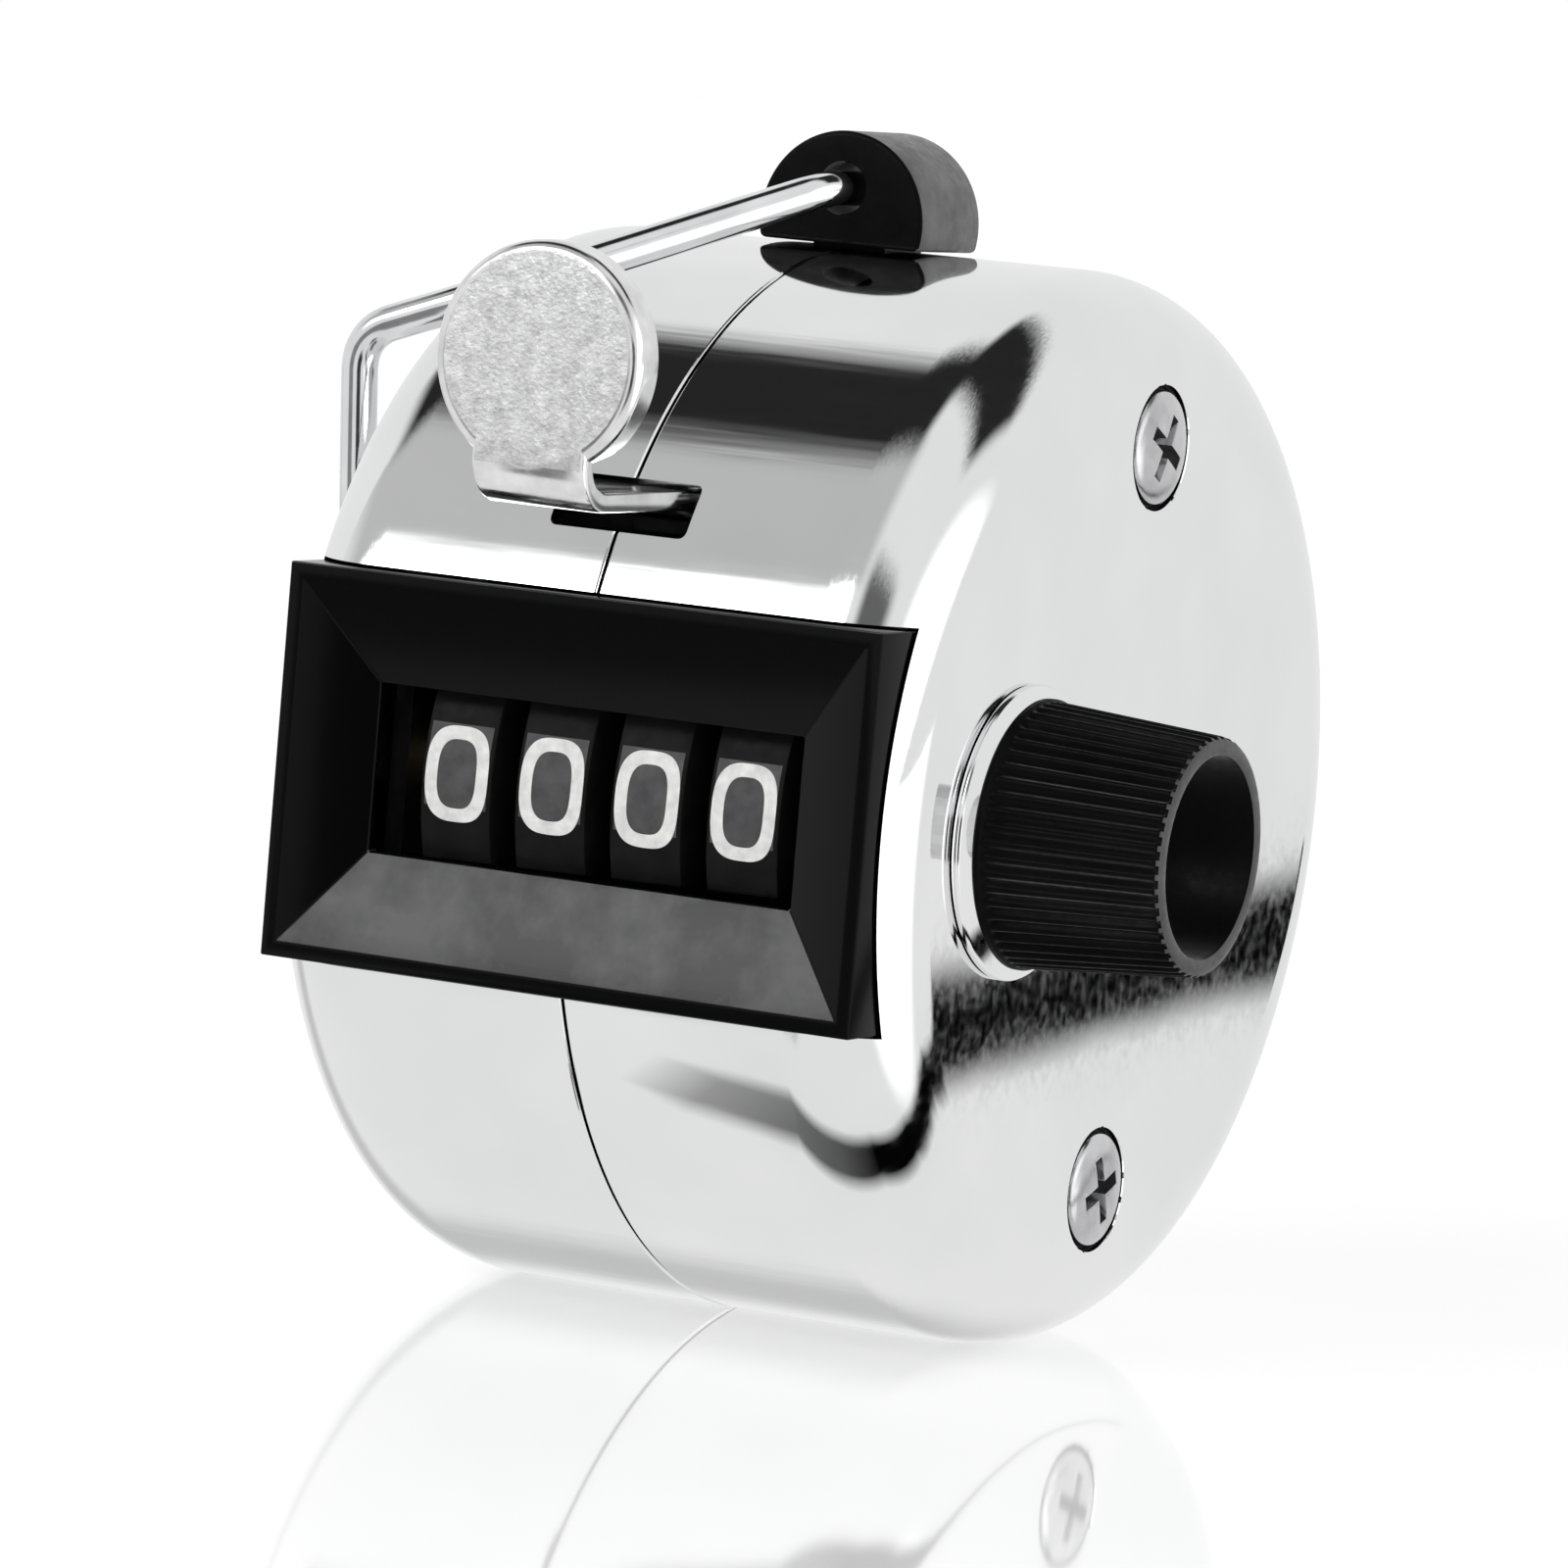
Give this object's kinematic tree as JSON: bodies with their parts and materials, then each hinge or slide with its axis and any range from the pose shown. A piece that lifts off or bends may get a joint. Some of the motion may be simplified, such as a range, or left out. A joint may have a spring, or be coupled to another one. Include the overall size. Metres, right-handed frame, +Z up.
{
  "type": "hand tally counter",
  "caption": "Round pocket tally counter in a bright two-shell case, with a thumb lever, a digit window, a fluted reset knob and a wire finger ring.",
  "frame": {"origin": "centre of the small flat that the counter stands on, under the middle of the case", "axes": "+X along the digit-wheel shaft towards the reset knob, the digit window faces -Y, +Z up towards the ring holder"},
  "size_m": [0.0402, 0.0489, 0.0485],
  "materials": {
    "chrome_plate": "mirror-bright nickel-chrome plate on drawn steel",
    "polished_wire": "bright plated round wire",
    "satin_plate": "finely blasted satin plate with a polished edge",
    "spring_steel": "plain drawn spring steel and shaft steel",
    "zinc_steel": "zinc-plated steel",
    "turned_brass": "turned and pressed brass",
    "gloss_black": "glossy moulded plastic",
    "fine_black": "semi-matt moulded plastic",
    "wheel_black": "semi-matt moulded plastic with pale printed digits in the visual model"
  },
  "bodies": {
    "case": {"left_case_half": "chrome_plate", "right_case_half": "chrome_plate", "window_bezel": "gloss_black", "left_upper_case_screw": "zinc_steel", "left_lower_case_screw": "zinc_steel", "right_upper_case_screw": "zinc_steel", "right_lower_case_screw": "zinc_steel", "left_frame_plate": "zinc_steel", "right_frame_plate": "zinc_steel", "upper_frame_post": "turned_brass", "lower_frame_post": "turned_brass", "rear_spacer": "zinc_steel", "left_shaft_bush": "turned_brass", "right_shaft_bush": "turned_brass", "knob_washer": "chrome_plate", "lever_pivot_pin": "spring_steel", "lever_pin_clip": "spring_steel", "lever_return_spring": "spring_steel", "detent_rod": "zinc_steel", "detent_spring": "spring_steel", "left_detent_screw": "zinc_steel", "right_detent_screw": "zinc_steel", "ring_holder": "fine_black"},
    "shaft_and_knob": {"reset_shaft": "spring_steel", "reset_knob": "fine_black", "shaft_clip": "spring_steel", "left_wheel_spacer": "turned_brass", "right_wheel_spacer": "turned_brass"},
    "thousands_digit": {"thousands_wheel": "wheel_black", "thousands_reset_pawl": "turned_brass"},
    "hundreds_digit": {"hundreds_wheel": "wheel_black", "hundreds_reset_pawl": "turned_brass"},
    "tens_digit": {"tens_wheel": "wheel_black", "tens_reset_pawl": "turned_brass"},
    "units_digit": {"units_wheel": "wheel_black", "units_reset_pawl": "turned_brass"},
    "lever": {"thumb_lever": "satin_plate", "pawl_pin": "spring_steel", "pawl_spring": "spring_steel"},
    "pawl": {"drive_pawl": "zinc_steel"},
    "ring": {"finger_ring": "polished_wire"}
  },
  "joints": [
    {"name": "knob_turn", "type": "hinge", "parent": "case", "child": "shaft_and_knob", "pos_m": [0, -0.0102, 0.0217], "axis": [1, 0, 0], "continuous": true},
    {"name": "thousands_wheel_turn", "type": "hinge", "parent": "shaft_and_knob", "child": "thousands_digit", "pos_m": [0, -0.0102, 0.0217], "axis": [1, 0, 0], "continuous": true},
    {"name": "hundreds_wheel_turn", "type": "hinge", "parent": "shaft_and_knob", "child": "hundreds_digit", "pos_m": [0, -0.0102, 0.0217], "axis": [1, 0, 0], "continuous": true},
    {"name": "tens_wheel_turn", "type": "hinge", "parent": "shaft_and_knob", "child": "tens_digit", "pos_m": [0, -0.0102, 0.0217], "axis": [1, 0, 0], "continuous": true},
    {"name": "units_wheel_turn", "type": "hinge", "parent": "shaft_and_knob", "child": "units_digit", "pos_m": [0, -0.0102, 0.0217], "axis": [1, 0, 0], "continuous": true},
    {"name": "lever_press", "type": "hinge", "parent": "case", "child": "lever", "pos_m": [0, -0.013, 0.0342], "axis": [1, 0, 0], "range_deg": [0, 9], "stiffness_Nm_per_rad": 0.12, "springref_deg": -11.46},
    {"name": "pawl_swing", "type": "hinge", "parent": "lever", "child": "pawl", "pos_m": [0, -0.005, 0.0097], "axis": [1, 0, 0], "range_deg": [-15, 0]},
    {"name": "ring_swing", "type": "hinge", "parent": "case", "child": "ring", "pos_m": [0, 0.0005, 0.0461], "axis": [0, 1, 0], "range_deg": [0, 150]}
  ],
  "couplings": [
    {"joint": "units_wheel_turn", "follows": "lever_press", "ratio": 4},
    {"joint": "pawl_swing", "follows": "lever_press", "ratio": -1.2}
  ]
}
